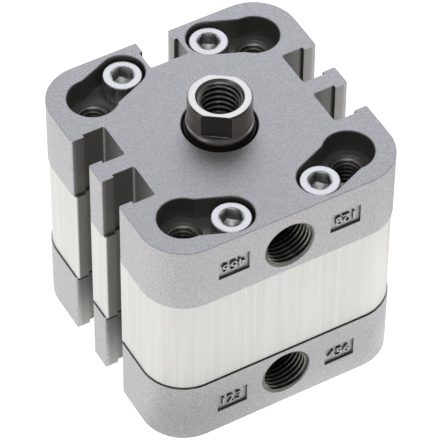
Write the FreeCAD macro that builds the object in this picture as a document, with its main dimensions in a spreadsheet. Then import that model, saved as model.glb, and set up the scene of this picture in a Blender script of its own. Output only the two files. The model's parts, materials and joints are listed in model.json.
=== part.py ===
import FreeCAD, Part
import math
import operator
import os
from types import SimpleNamespace

import Sketcher

# Compact double-acting pneumatic cylinder with a two-piece magnetic piston.
# The origin is the centre of the rear face, +Z runs along the rod and -Y faces the air ports.

# Driving dimensions in millimetres and degrees.
DIMENSIONS = {
    # Bore, stroke and barrel extrusion
    "bore_radius": 16.0,
    "bore_wall": 2.6,
    "stroke": 5.0,
    "bore_chamfer": 0.4,
    "barrel_inset": 0.25,
    "corner_radius": 8.3,
    # Sensor slots
    "slot_width": 7.66,
    "slot_web": 3.18,
    "cap_slot_undercut": 0.63,
    "cap_slot_lip": 2.5,
    "cap_slot_relief": 0.85,
    "barrel_slot_step": 0.53,
    "barrel_slot_undercut": 0.65,
    "barrel_slot_lip": 2.1,
    "barrel_slot_depth": 5.7,
    "slot_edge_radius": 0.35,
    "slot_floor_radius": 0.5,
    # Caps
    "edge_round": 0.1,
    "seam_wall": 1.34,
    "seam_relief_depth": 0.6,
    "seam_relief_height": 0.3,
    "spigot_height": 2.8,
    "spigot_clearance": 0.05,
    "spigot_lip": 0.5,
    # Keyhole pockets with the mounting threads and the cap screws
    "mount_radius": 3.0,
    "mount_chamfer": 0.45,
    "through_step": 0.35,
    "slot_wall": 0.77,
    "pocket_wall": 1.05,
    "pocket_step": 0.5,
    "pocket_blend": 2.0,
    "pocket_chamfer": 0.15,
    "screw_radius": 2.0,
    "screw_length": 16.0,
    "screw_hole_gap": 0.15,
    "screw_head_radius": 3.6,
    "screw_head_height": 4.0,
    "screw_head_recess": 0.8,
    "screw_head_gap": 0.5,
    "screw_key_width": 3.7,
    "screw_key_depth": 2.6,
    "screw_edge": 0.3,
    # Air ports and marking recesses
    "port_radius": 4.86,
    "port_depth": 8.0,
    "port_offset": 7.6,
    "port_chamfer": 0.12,
    "pilot_radius": 2.5,
    "passage_radius": 1.4,
    "passage_wall": 1.0,
    "recess_width": 6.0,
    "recess_height": 4.25,
    "recess_depth": 0.5,
    "recess_offset": 11.0,
    "recess_drop": 6.85,
    # Rod, rod bush and rod seal
    "rod_radius": 6.0,
    "rod_projection": 6.8,
    "rod_end_step": 0.25,
    "rod_end_taper": 0.4,
    "rod_end_chamfer": 0.32,
    "rod_thread_wall": 2.0,
    "rod_thread_depth": 12.0,
    "rod_thread_chamfer": 0.3,
    "rod_thread_cone_height": 0.52,
    "rod_drill_step": 0.6,
    "rod_drill_depth": 2.5,
    "wrench_cut": 0.75,
    "wrench_length": 4.9,
    "wrench_turn": -36.0,
    "bush_wall": 1.5,
    "bush_recess_depth": 1.8,
    "bush_chamfer": 0.3,
    "running_gap": 0.03,
    "mouth_gap": 0.75,
    "mouth_lip": 1.2,
    "mouth_chamfer": 0.15,
    "seal_width": 2.8,
    "seal_height": 4.6,
    "seal_lip_gap": 0.05,
    "seal_lip_wall": 0.55,
    "seal_relief": 0.4,
    "wiper_recess": 0.35,
    "wiper_edge": 0.25,
    # Static seals and end stops
    "o_ring_section": 1.2,
    "o_ring_room": 0.4,
    "fit_gap": 0.02,
    "bumper_wall": 0.8,
    "bumper_width": 2.0,
    "bumper_seat_depth": 1.2,
    "bumper_face_height": 0.5,
    "bumper_edge": 0.25,
    "end_gap": 0.1,
    # Piston
    "piston_clearance": 0.25,
    "piston_flange": 0.75,
    "piston_edge": 0.3,
    "piston_middle": 2.6,
    "piston_shoulder": 2.0,
    "piston_hub_wall": 4.0,
    "seal_groove_width": 2.0,
    "seal_groove_depth": 3.0,
    "piston_seal_gap": 0.05,
    "piston_seal_lip": 0.7,
    "piston_seal_slope_width": 0.25,
    "stub_wall": 1.5,
    "stub_end_gap": 0.2,
    "piston_o_ring_section": 1.0,
    "piston_o_ring_level": 1.6,
    "piston_screw_length": 11.0,
    "piston_screw_head_step": 2.0,
    "piston_screw_head_height": 2.2,
    "piston_screw_head_recess": 0.2,
    "piston_screw_head_gap": 0.5,
    "piston_screw_key_width": 3.0,
    "piston_screw_key_depth": 1.4,
    "washer_thickness": 0.6,
    "tap_allowance": 1.5,
}

# Cones at the ends of drilled holes and key sockets, as height over radius
DRILL_TIP_RATIO = 0.6
# How far a cutting outline reaches past the face that it cuts
OVERRUN = 1.0
# Edges this near to a height lie at it
LEVEL_TOLERANCE = 1e-6
# A hexagon's width across flats over its corner radius
HEXAGON_RATIO = math.sqrt(3)

OPERATIONS = {
    "+": operator.add,
    "-": operator.sub,
    "*": operator.mul,
    "/": operator.truediv,
}


class Size:
    """A length that holds its present value and the sheet formula that gives it."""

    def __init__(self, value, formula):
        self.value = value
        self.formula = formula

    def __add__(self, other):
        return combine(self, "+", other)

    def __radd__(self, other):
        return combine(other, "+", self)

    def __sub__(self, other):
        return combine(self, "-", other)

    def __rsub__(self, other):
        return combine(other, "-", self)

    def __mul__(self, other):
        return combine(self, "*", other)

    def __rmul__(self, other):
        return combine(other, "*", self)

    def __truediv__(self, other):
        return combine(self, "/", other)

    def __neg__(self):
        return Size(-self.value, f"(-{self.formula})")


def as_size(number):
    """A Size as it is, or a plain number as a constant Size."""
    if isinstance(number, Size):
        return number
    return Size(float(number), repr(float(number)))


def combine(left, sign, right):
    """Two sizes joined by one arithmetic sign, in value and in formula."""
    left = as_size(left)
    right = as_size(right)
    value = OPERATIONS[sign](left.value, right.value)
    return Size(value, f"({left.formula} {sign} {right.formula})")


def root(size):
    """The square root of a size."""
    return Size(math.sqrt(size.value), f"sqrt({size.formula})")


def heading(across, along):
    """The direction of a vector in degrees, anticlockwise from +X."""
    degrees = math.degrees(math.atan2(along.value, across.value))
    return Size(degrees, f"atan2({along.formula}; {across.formula})")


doc = FreeCAD.newDocument("compact_cylinder")
sheet = doc.addObject("Spreadsheet::Sheet", "sizes")
for row, (name, number) in enumerate(DIMENSIONS.items(), start=1):
    sheet.set(f"A{row}", name)
    sheet.set(f"B{row}", str(number))
    sheet.setAlias(f"B{row}", name)
doc.recompute()
dim = SimpleNamespace(**{name: Size(number, f"sizes.{name}") for name, number in DIMENSIONS.items()})

# Body and slots
barrel_half = dim.bore_radius + dim.bore_wall + dim.barrel_slot_depth
half_side = barrel_half + dim.barrel_inset
cap_height = dim.port_offset + dim.port_radius + dim.seam_wall
cap_top = dim.spigot_height + cap_height
slot_offset = (dim.slot_web + dim.slot_width) / 2

# Pockets, mounting threads and cap screws
mount_offset = half_side - dim.corner_radius
screw_pocket_radius = dim.screw_head_radius + dim.screw_head_gap
mount_pocket_radius = screw_pocket_radius + dim.pocket_step
pocket_depth = dim.screw_head_height + dim.screw_head_recess
pocket_floor = cap_top - pocket_depth
screw_across = dim.slot_width / 2 + dim.slot_wall + screw_pocket_radius
screw_along = half_side - dim.pocket_wall - screw_pocket_radius

# Piston, chamber and overall lengths
piston_half_height = dim.seal_groove_width + 2 * dim.piston_flange
piston_length = 2 * piston_half_height + dim.piston_middle
chamber_end = dim.spigot_height + dim.bumper_face_height + dim.end_gap
barrel_length = piston_length + dim.stroke + 2 * chamber_end
total_height = 2 * cap_height + barrel_length

# Heights of the frames that the pieces are modelled in
front_base = cap_height + barrel_length - dim.spigot_height
rear_base = cap_height + dim.spigot_height
piston_base = cap_height + chamber_end

# Static seals, air passage and end stops in the caps
spigot_radius = dim.bore_radius - dim.spigot_clearance
o_ring_groove_radius = dim.bore_radius - dim.o_ring_section - 2 * dim.fit_gap
o_ring_groove_width = dim.o_ring_section + dim.o_ring_room
o_ring_level = dim.spigot_lip + o_ring_groove_width / 2
passage_offset = o_ring_groove_radius - dim.passage_wall - dim.passage_radius
port_level = cap_top - dim.port_offset
bush_radius = dim.rod_radius + dim.bush_wall
bumper_inner = bush_radius + dim.bumper_wall
bumper_outer = bumper_inner + dim.bumper_width

# Rod seal seat in the front cap
mouth_radius = dim.rod_radius + dim.mouth_gap
seal_seat_radius = dim.rod_radius + dim.seal_width
seal_seat_top = cap_top - dim.mouth_lip
seal_seat_floor = seal_seat_top - dim.seal_height

# Rod and piston
rod_top = total_height + dim.rod_projection - piston_base
rod_end_radius = dim.rod_radius - dim.rod_end_step
rod_thread_radius = dim.rod_radius - dim.rod_thread_wall
wrench_half = rod_end_radius - dim.wrench_cut
wrench_floor = rod_top - dim.wrench_length
stub_radius = dim.rod_radius - dim.piston_shoulder
piston_screw_radius = stub_radius - dim.stub_wall
piston_screw_head_radius = piston_screw_radius + dim.piston_screw_head_step
counterbore_radius = piston_screw_head_radius + dim.piston_screw_head_gap
washer_base = dim.piston_screw_head_recess + dim.piston_screw_head_height
counterbore_depth = washer_base + dim.washer_thickness
stub_end = counterbore_depth + dim.stub_end_gap
tap_end = washer_base + dim.piston_screw_length + dim.tap_allowance
piston_radius = dim.bore_radius - dim.piston_clearance
hub_radius = stub_radius + dim.piston_hub_wall
seal_groove_radius = dim.bore_radius - dim.seal_groove_depth
ring_outer = dim.bore_radius - dim.piston_seal_gap
ring_inner = seal_groove_radius + dim.piston_seal_gap
piston_o_ring_groove = stub_radius + dim.piston_o_ring_section + dim.fit_gap

pieces = []


def bind(item, place, size):
    """Tie a property of a document object to the sheet."""
    item.setExpression(place, as_size(size).formula)


def new_body(label):
    """A new body whose label names its piece."""
    body = doc.addObject("PartDesign::Body", label)
    body.Label = label
    return body


def finish(piece, height=None, turned=False):
    """Set a piece at its height, turned over about Y if asked, and list it for writing."""
    if turned:
        piece.Placement = FreeCAD.Placement(FreeCAD.Vector(), FreeCAD.Rotation(FreeCAD.Vector(0, 1, 0), 180))
    if height is not None:
        bind(piece, "Placement.Base.z", height)
    doc.recompute()
    pieces.append(piece)
    return piece


def origin_plane(body, role):
    """One of a body's own origin planes."""
    return next(feature for feature in body.Origin.OriginFeatures if feature.Role == role)


def sketch_on(body, name, role, across=None, along=None, out=None, turn=None):
    """A sketch on an origin plane, shifted in its own axes and turned about its normal."""
    sketch = body.newObject("Sketcher::SketchObject", name)
    sketch.AttachmentSupport = [(origin_plane(body, role), "")]
    sketch.MapMode = "FlatFace"
    for axis, shift in (("x", across), ("y", along), ("z", out)):
        if shift is not None:
            bind(sketch, f"AttachmentOffset.Base.{axis}", shift)
    if turn is not None:
        bind(sketch, "AttachmentOffset.Rotation.Angle", turn)
    return sketch


def hold(sketch, constraint, size):
    """Add a constraint whose value follows a size."""
    index = sketch.addConstraint(constraint)
    bind(sketch, f"Constraints[{index}]", size)


def fix_point(sketch, element, end, across, along):
    """Fix one point of a sketch element at sheet-driven coordinates."""
    for kind, axis, size in (("DistanceX", -2, across), ("DistanceY", -1, along)):
        if isinstance(size, Size):
            hold(sketch, Sketcher.Constraint(kind, -1, 1, element, end, size.value), size)
        else:
            sketch.addConstraint(Sketcher.Constraint("PointOnObject", element, end, axis))


def add_circle(sketch, across, along, radius):
    """A circle at sheet-driven coordinates, where 0 stands for an axis."""
    centre = FreeCAD.Vector(as_size(across).value, as_size(along).value, 0)
    element = sketch.addGeometry(Part.Circle(centre, FreeCAD.Vector(0, 0, 1), radius.value), False)
    fix_point(sketch, element, 3, across, along)
    hold(sketch, Sketcher.Constraint("Radius", element, radius.value), radius)


def arc_between(start, end, radius):
    """The short arc from start to end, anticlockwise for a positive radius."""
    chord = end - start
    rise = math.sqrt(max(radius * radius - chord.Length * chord.Length / 4, 0))
    left = FreeCAD.Vector(-chord.y, chord.x, 0).normalize()
    centre = (start + end) * 0.5 + left * math.copysign(rise, radius)
    first, last = (start, end) if radius > 0 else (end, start)
    angles = [math.atan2(point.y - centre.y, point.x - centre.x) for point in (first, last)]
    return Part.ArcOfCircle(Part.Circle(centre, FreeCAD.Vector(0, 0, 1), abs(radius)), *angles)


def trace(sketch, corners):
    """Draw a closed outline. A corner's third entry is the radius of the arc that leaves it,
    negative where the arc turns clockwise; 0 as a coordinate puts the corner on that axis."""
    points = [FreeCAD.Vector(as_size(c[0]).value, as_size(c[1]).value, 0) for c in corners]
    sides = []
    for index, corner in enumerate(corners):
        start = points[index]
        end = points[(index + 1) % len(points)]
        bend = corner[2] if len(corner) > 2 else None
        if bend is None:
            element = sketch.addGeometry(Part.LineSegment(start, end), False)
            sides.append((element, 1, 2))
        else:
            element = sketch.addGeometry(arc_between(start, end, bend.value), False)
            sides.append((element, 1, 2) if bend.value > 0 else (element, 2, 1))
            radius = bend if bend.value > 0 else -bend
            hold(sketch, Sketcher.Constraint("Radius", element, radius.value), radius)
    for index, (element, first, last) in enumerate(sides):
        following, head, _ = sides[(index + 1) % len(sides)]
        sketch.addConstraint(Sketcher.Constraint("Coincident", element, last, following, head))
        fix_point(sketch, element, first, corners[index][0], corners[index][1])


def rounded_square(sketch, half, radius):
    """A centred square with rounded corners."""
    flat = half - radius
    trace(
        sketch,
        [
            (flat, -half, radius),
            (half, -flat),
            (half, flat, radius),
            (flat, half),
            (-flat, half, radius),
            (-half, flat),
            (-half, -flat, radius),
            (-flat, -half),
        ],
    )


def rectangle(sketch, left, bottom, right, top):
    """An upright rectangle."""
    trace(sketch, [(left, bottom), (right, bottom), (right, top), (left, top)])


def pad(body, name, sketch, length):
    """Extrude a sketch along its normal."""
    feature = body.newObject("PartDesign::Pad", name)
    feature.Profile = sketch
    bind(feature, "Length", length)
    doc.recompute()
    return feature


def pocket(body, name, sketch, depth=None, upward=False):
    """Cut a sketch into the body against its normal, or along it; no depth cuts right through."""
    feature = body.newObject("PartDesign::Pocket", name)
    feature.Profile = sketch
    feature.Reversed = upward
    if depth is None:
        feature.Type = "ThroughAll"
    else:
        bind(feature, "Length", depth)
    doc.recompute()
    return feature


def turn_about(body, name, sketch, kind, axis="V_Axis"):
    """Revolve a sketch a full turn about one of its own axes."""
    feature = body.newObject(f"PartDesign::{kind}", name)
    feature.Profile = sketch
    feature.ReferenceAxis = (sketch, [axis])
    feature.Angle = 360.0
    doc.recompute()
    return feature


def revolved_piece(label, corners):
    """A body turned from one half section, given as radius and height."""
    body = new_body(label)
    section = sketch_on(body, f"{label}_section", "XZ_Plane")
    trace(section, corners)
    turn_about(body, f"{label}_turning", section, "Revolution")
    return body


def mirror_to_corners(body, name, originals):
    """Repeat features across both upright mid-planes."""
    flips = []
    for role in ("YZ_Plane", "XZ_Plane"):
        flip = body.newObject("PartDesign::Mirrored", f"{name}_{role[:2].lower()}")
        flip.MirrorPlane = (origin_plane(body, role), [""])
        flips.append(flip)
    feature = body.newObject("PartDesign::MultiTransform", name)
    feature.Originals = originals
    feature.Transformations = flips
    body.Tip = feature
    doc.recompute()
    return feature


def at_level(shape, level):
    """Whether a shape lies flat at one height."""
    box = shape.BoundBox
    return abs(box.ZMin - level) < LEVEL_TOLERANCE and abs(box.ZMax - level) < LEVEL_TOLERANCE


def round_rim(body, base, height, radius):
    """Round every edge of a feature that lies at one height."""
    edges = enumerate(base.Shape.Edges, start=1)
    feature = body.newObject("PartDesign::Fillet", "rim_round")
    feature.Base = (base, [f"Edge{number}" for number, edge in edges if at_level(edge, height.value)])
    bind(feature, "Radius", radius)
    doc.recompute()


def chamfer_openings(body, base, height, size):
    """Chamfer the rims of the openings inside the face of a feature at one height."""
    face = max((face for face in base.Shape.Faces if at_level(face, height.value)), key=lambda face: face.Area)
    rims = [edge for wire in face.Wires if not wire.isSame(face.OuterWire) for edge in wire.Edges]
    edges = enumerate(base.Shape.Edges, start=1)
    names = [f"Edge{number}" for number, edge in edges if any(edge.isSame(rim) for rim in rims)]
    feature = body.newObject("PartDesign::Chamfer", "opening_chamfers")
    feature.Base = (base, names)
    bind(feature, "Size", size)
    doc.recompute()


def slot_outline(sketch, mouth_half, width_half, lip, depth, edge):
    """The T-slot's section: mouth with rounded edges, lip and wider cavity, running inwards along +X."""
    flare = mouth_half + edge
    corner = dim.slot_floor_radius
    outside = as_size(-OVERRUN)
    trace(
        sketch,
        [
            (outside, -flare),
            (0, -flare, -edge),
            (edge, -mouth_half),
            (lip, -mouth_half),
            (lip, -width_half),
            (depth - corner, -width_half, corner),
            (depth, corner - width_half),
            (depth, width_half - corner, corner),
            (depth - corner, width_half),
            (lip, width_half),
            (lip, mouth_half),
            (edge, mouth_half, -edge),
            (0, flare),
            (outside, flare),
        ],
    )


def cut_slots(body, face, top, section):
    """Two sensor slots in each of the -X and +X sides and one in the +Y side."""
    side = sketch_on(body, "side_slot_section", "XY_Plane", across=-face, along=slot_offset, out=top)
    slot_outline(side, *section)
    side_slot = pocket(body, "side_slot", side)
    mirror_to_corners(body, "side_slots", [side_slot])
    back = sketch_on(body, "back_slot_section", "XY_Plane", along=face, out=top, turn=-90)
    slot_outline(back, *section)
    pocket(body, "back_slot", back)


def keyhole_outline(sketch, reach):
    """Keyhole round the mounting hole at the origin and the cap screw at a distance along +X.
    The parallel sides blend into the larger circle with arcs that bulge inwards."""
    blend = dim.pocket_blend
    lift = screw_pocket_radius + blend
    span = mount_pocket_radius + blend
    neck = root(span * span - lift * lift)
    share = mount_pocket_radius / span
    trace(
        sketch,
        [
            (reach, -screw_pocket_radius, screw_pocket_radius),
            (reach + screw_pocket_radius, 0, screw_pocket_radius),
            (reach, screw_pocket_radius),
            (neck, screw_pocket_radius, -blend),
            (share * neck, share * lift, mount_pocket_radius),
            (-mount_pocket_radius, 0, mount_pocket_radius),
            (share * neck, -(share * lift), -blend),
            (neck, -screw_pocket_radius),
        ],
    )


def cut_pockets(body):
    """Four keyhole pockets, each with a chamfered mounting hole and a cap screw hole in its floor."""
    across = screw_across - mount_offset
    along = screw_along - mount_offset
    outline = sketch_on(
        body,
        "keyhole_outline",
        "XY_Plane",
        across=mount_offset,
        along=mount_offset,
        out=cap_top,
        turn=heading(across, along),
    )
    keyhole_outline(outline, root(across * across + along * along))
    keyhole = pocket(body, "keyhole", outline, pocket_depth)
    section = sketch_on(body, "mount_section", "XZ_Plane", across=mount_offset, out=-mount_offset)
    trace(
        section,
        [
            (0, dim.spigot_height),
            (dim.mount_radius, dim.spigot_height),
            (dim.mount_radius, pocket_floor - dim.mount_chamfer),
            (dim.mount_radius + dim.mount_chamfer, pocket_floor),
            (0, pocket_floor),
        ],
    )
    mount = turn_about(body, "mount_hole", section, "Groove")
    place = sketch_on(body, "screw_hole_place", "XY_Plane", out=cap_top)
    add_circle(place, screw_across, screw_along, dim.screw_radius + dim.screw_hole_gap)
    screw_hole = pocket(body, "screw_hole", place)
    pockets = mirror_to_corners(body, "corner_pockets", [keyhole, mount, screw_hole])
    chamfer_openings(body, pockets, cap_top, dim.pocket_chamfer)


def cut_port(body):
    """Chamfered air port from the -Y face, its pilot hole and the passage down to the chamber."""
    section = sketch_on(body, "port_section", "YZ_Plane", along=port_level)
    face = -half_side
    trace(
        section,
        [
            (face, 0),
            (face, dim.port_radius + dim.port_chamfer),
            (face + dim.port_chamfer, dim.port_radius),
            (face + dim.port_depth, dim.port_radius),
            (face + dim.port_depth, dim.pilot_radius),
            (dim.passage_radius - passage_offset, dim.pilot_radius),
            (dim.passage_radius - passage_offset, 0),
        ],
    )
    turn_about(body, "port", section, "Groove", axis="H_Axis")
    passage = sketch_on(body, "passage_place", "XY_Plane")
    add_circle(passage, 0, -passage_offset, dim.passage_radius)
    pocket(body, "passage", passage, port_level, upward=True)


def cut_recesses(body):
    """Two shallow marking recesses beside the port."""
    outline = sketch_on(body, "recess_outline", "XZ_Plane", out=half_side)
    middle = cap_top - dim.recess_drop
    for side in (-1, 1):
        centre = side * dim.recess_offset
        rectangle(
            outline,
            centre - dim.recess_width / 2,
            middle - dim.recess_height / 2,
            centre + dim.recess_width / 2,
            middle + dim.recess_height / 2,
        )
    pocket(body, "recesses", outline, dim.recess_depth)


def add_spigot(body):
    """Spigot that centres the cap in the bore, with the groove for its static seal."""
    section = sketch_on(body, "spigot_section", "XZ_Plane")
    groove_top = dim.spigot_lip + o_ring_groove_width
    trace(
        section,
        [
            (0, 0),
            (spigot_radius, 0),
            (spigot_radius, dim.spigot_lip),
            (o_ring_groove_radius, dim.spigot_lip),
            (o_ring_groove_radius, groove_top),
            (spigot_radius, groove_top),
            (spigot_radius, dim.spigot_height),
            (0, dim.spigot_height),
        ],
    )
    turn_about(body, "spigot", section, "Revolution")
    seat = sketch_on(body, "bumper_seat_section", "XZ_Plane")
    rectangle(seat, bumper_inner, 0, bumper_outer, dim.bumper_seat_depth)
    turn_about(body, "bumper_seat", seat, "Groove")


def cut_rod_seats(body):
    """Stepped hole through the front cap: rod bush seat, rod seal seat and chamfered mouth."""
    section = sketch_on(body, "rod_seat_section", "XZ_Plane")
    trace(
        section,
        [
            (0, 0),
            (bush_radius, 0),
            (bush_radius, seal_seat_floor),
            (seal_seat_radius, seal_seat_floor),
            (seal_seat_radius, seal_seat_top),
            (mouth_radius, seal_seat_top),
            (mouth_radius, cap_top - dim.mouth_chamfer),
            (mouth_radius + dim.mouth_chamfer, cap_top),
            (0, cap_top),
        ],
    )
    turn_about(body, "rod_seats", section, "Groove")


def cut_seam_relief(body):
    """Narrow step round the rim of the rear cap where it meets the barrel."""
    outline = sketch_on(body, "seam_relief_outline", "XY_Plane", out=dim.spigot_height)
    past = half_side + OVERRUN
    rectangle(outline, -past, -past, past, past)
    rounded_square(outline, half_side - dim.seam_relief_depth, dim.corner_radius - dim.seam_relief_depth)
    pocket(body, "seam_relief", outline, dim.seam_relief_height, upward=True)


def make_cap(label):
    """The casting shared by both caps, with its outer face up and its spigot's end at height 0."""
    body = new_body(label)
    outline = sketch_on(body, "block_outline", "XY_Plane", out=dim.spigot_height)
    rounded_square(outline, half_side, dim.corner_radius)
    block = pad(body, "block", outline, cap_height)
    round_rim(body, block, cap_top, dim.edge_round)
    add_spigot(body)
    section = (
        dim.slot_width / 2 - dim.cap_slot_undercut,
        dim.slot_width / 2,
        dim.cap_slot_lip,
        dim.barrel_slot_depth + dim.barrel_inset + dim.cap_slot_relief,
        dim.slot_edge_radius,
    )
    cut_slots(body, half_side, cap_top, section)
    cut_pockets(body)
    cut_port(body)
    cut_recesses(body)
    return body


def make_barrel():
    """Extruded barrel: rounded square with sensor slots, bore, bolt holes and screw holes."""
    body = new_body("barrel")
    outline = sketch_on(body, "barrel_outline", "XY_Plane")
    rounded_square(outline, barrel_half, dim.corner_radius - dim.barrel_inset)
    pad(body, "extrusion", outline, barrel_length)
    width_half = dim.slot_width / 2 - dim.barrel_slot_step
    section = (
        width_half - dim.barrel_slot_undercut,
        width_half,
        dim.barrel_slot_lip,
        dim.barrel_slot_depth,
        dim.slot_edge_radius,
    )
    cut_slots(body, barrel_half, barrel_length, section)
    places = sketch_on(body, "hole_places", "XY_Plane", out=barrel_length)
    add_circle(places, mount_offset, mount_offset, dim.mount_radius - dim.through_step)
    add_circle(places, screw_across, screw_along, dim.screw_radius + dim.fit_gap)
    holes = pocket(body, "long_holes", places)
    mirror_to_corners(body, "corner_holes", [holes])
    bore = sketch_on(body, "bore_section", "XZ_Plane")
    trace(
        bore,
        [
            (0, 0),
            (dim.bore_radius + dim.bore_chamfer, 0),
            (dim.bore_radius, dim.bore_chamfer),
            (dim.bore_radius, barrel_length - dim.bore_chamfer),
            (dim.bore_radius + dim.bore_chamfer, barrel_length),
            (0, barrel_length),
        ],
    )
    turn_about(body, "bore", bore, "Groove")
    return body


def make_screw(label, head_radius, head_height, shank_radius, length, key_width, key_depth):
    """Socket head screw standing on its tip, with a countersunk hexagon socket."""
    top = length + head_height
    edge = dim.screw_edge
    body = revolved_piece(
        label,
        [
            (0, 0),
            (shank_radius - edge, 0),
            (shank_radius, edge),
            (shank_radius, length),
            (head_radius, length),
            (head_radius, top - edge),
            (head_radius - edge, top),
            (0, top),
        ],
    )
    corner = key_width / HEXAGON_RATIO
    hexagon = sketch_on(body, f"{label}_key_outline", "XY_Plane", out=top)
    trace(
        hexagon,
        [
            (corner, 0),
            (corner / 2, key_width / 2),
            (-(corner / 2), key_width / 2),
            (-corner, 0),
            (-(corner / 2), -(key_width / 2)),
            (corner / 2, -(key_width / 2)),
        ],
    )
    pocket(body, f"{label}_key_socket", hexagon, key_depth)
    sink = corner + edge
    section = sketch_on(body, f"{label}_sink_section", "XZ_Plane")
    trace(section, [(0, top), (0, top - DRILL_TIP_RATIO * sink), (sink, top)])
    turn_about(body, f"{label}_countersink", section, "Groove")
    return body


def make_cap_screws(label, height, turned):
    """Four cap screws, one placed and the others mirrored from it."""
    screw = make_screw(
        f"{label}_pattern",
        dim.screw_head_radius,
        dim.screw_head_height,
        dim.screw_radius,
        dim.screw_length,
        dim.screw_key_width,
        dim.screw_key_depth,
    )
    if turned:
        screw.Placement = FreeCAD.Placement(FreeCAD.Vector(), FreeCAD.Rotation(FreeCAD.Vector(0, 1, 0), 180))
    bind(screw, "Placement.Base.x", screw_across)
    bind(screw, "Placement.Base.y", screw_along)
    bind(screw, "Placement.Base.z", height)
    group = [screw]
    for normal in (FreeCAD.Vector(1, 0, 0), FreeCAD.Vector(0, 1, 0)):
        for source in list(group):
            copy = doc.addObject("Part::Mirroring", f"{label}_copy")
            copy.Source = source
            copy.Normal = normal
            group.append(copy)
    screws = doc.addObject("Part::Compound", label)
    screws.Label = label
    screws.Links = group
    finish(screws)


def make_o_ring(label, radius, section, height):
    """Round-section ring about the rod's axis."""
    ring = doc.addObject("Part::Torus", label)
    ring.Label = label
    bind(ring, "Radius1", radius)
    bind(ring, "Radius2", section / 2)
    finish(ring, height)


def make_bumper(label, height, turned):
    """Elastic stop ring in the spigot's face, standing proud towards the piston."""
    inner = bumper_inner + dim.fit_gap
    outer = bumper_outer - dim.fit_gap
    edge = dim.bumper_edge
    face = -dim.bumper_face_height
    ring = revolved_piece(
        label,
        [
            (inner + edge, face),
            (outer - edge, face),
            (outer, face + edge),
            (outer, dim.bumper_seat_depth),
            (inner, dim.bumper_seat_depth),
            (inner, face + edge),
        ],
    )
    finish(ring, height, turned)


def make_rod_bush():
    """Plain bearing bush pressed into the front cap from the chamber side."""
    inner = dim.rod_radius + dim.running_gap
    edge = dim.bush_chamfer
    bush = revolved_piece(
        "rod_bush",
        [
            (inner + edge, dim.bush_recess_depth),
            (bush_radius, dim.bush_recess_depth),
            (bush_radius, seal_seat_floor),
            (inner + edge, seal_seat_floor),
            (inner, seal_seat_floor - edge),
            (inner, dim.bush_recess_depth + edge),
        ],
    )
    finish(bush, front_base)


def make_rod_seal():
    """Combined rod seal and wiper: a lip at each end, the upper one rising through the mouth."""
    inner = dim.rod_radius + dim.seal_lip_gap
    relief = inner + dim.seal_relief
    outer = seal_seat_radius - dim.fit_gap
    floor = seal_seat_floor + dim.fit_gap
    shoulder = seal_seat_top - dim.fit_gap
    tip = cap_top - dim.wiper_recess
    lip = dim.seal_lip_wall
    seal = revolved_piece(
        "rod_seal",
        [
            (inner, floor),
            (outer, floor),
            (outer, shoulder),
            (inner + lip, shoulder),
            (inner + dim.wiper_edge, tip),
            (inner, tip),
            (inner, tip - lip),
            (relief, tip - lip - dim.seal_relief),
            (relief, floor + lip + dim.seal_relief),
            (inner, floor + lip),
        ],
    )
    finish(seal, front_base)


def make_rod():
    """Piston rod: stub through the piston, ground rod, stepped end with thread and two wrench flats."""
    thread_floor = rod_top - dim.rod_thread_depth
    drill_radius = rod_thread_radius - dim.rod_drill_step
    drill_floor = thread_floor - dim.rod_drill_depth
    step = wrench_floor - dim.rod_end_taper
    rod = revolved_piece(
        "piston_rod",
        [
            (piston_screw_radius, stub_end),
            (stub_radius - dim.piston_edge, stub_end),
            (stub_radius, stub_end + dim.piston_edge),
            (stub_radius, piston_length),
            (dim.rod_radius, piston_length),
            (dim.rod_radius, step - dim.rod_end_taper),
            (rod_end_radius, step),
            (rod_end_radius, rod_top - dim.rod_end_chamfer),
            (rod_end_radius - dim.rod_end_chamfer, rod_top),
            (rod_thread_radius + dim.rod_thread_chamfer, rod_top),
            (rod_thread_radius, rod_top - dim.rod_thread_cone_height),
            (rod_thread_radius, thread_floor),
            (drill_radius, thread_floor),
            (drill_radius, drill_floor),
            (0, drill_floor - DRILL_TIP_RATIO * drill_radius),
            (0, tap_end + DRILL_TIP_RATIO * piston_screw_radius),
            (piston_screw_radius, tap_end),
        ],
    )
    flats = sketch_on(rod, "wrench_flats_outline", "XY_Plane", out=wrench_floor)
    past = dim.rod_radius + OVERRUN
    for side in (-1, 1):
        rectangle(flats, -past, side * wrench_half, past, side * past)
    pocket(rod, "wrench_flats", flats, upward=True)
    bind(rod, "Placement.Rotation.Angle", dim.wrench_turn)
    finish(rod, piston_base)


def seal_groove_side(base):
    """Rim of a piston half from its outer face inwards, with the groove for its lip seal."""
    return [
        (piston_radius - dim.piston_edge, base),
        (piston_radius, base + dim.piston_edge),
        (piston_radius, base + dim.piston_flange),
        (seal_groove_radius, base + dim.piston_flange),
        (seal_groove_radius, base + dim.piston_flange + dim.seal_groove_width),
        (piston_radius, base + dim.piston_flange + dim.seal_groove_width),
        (piston_radius, base + piston_half_height),
    ]


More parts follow.
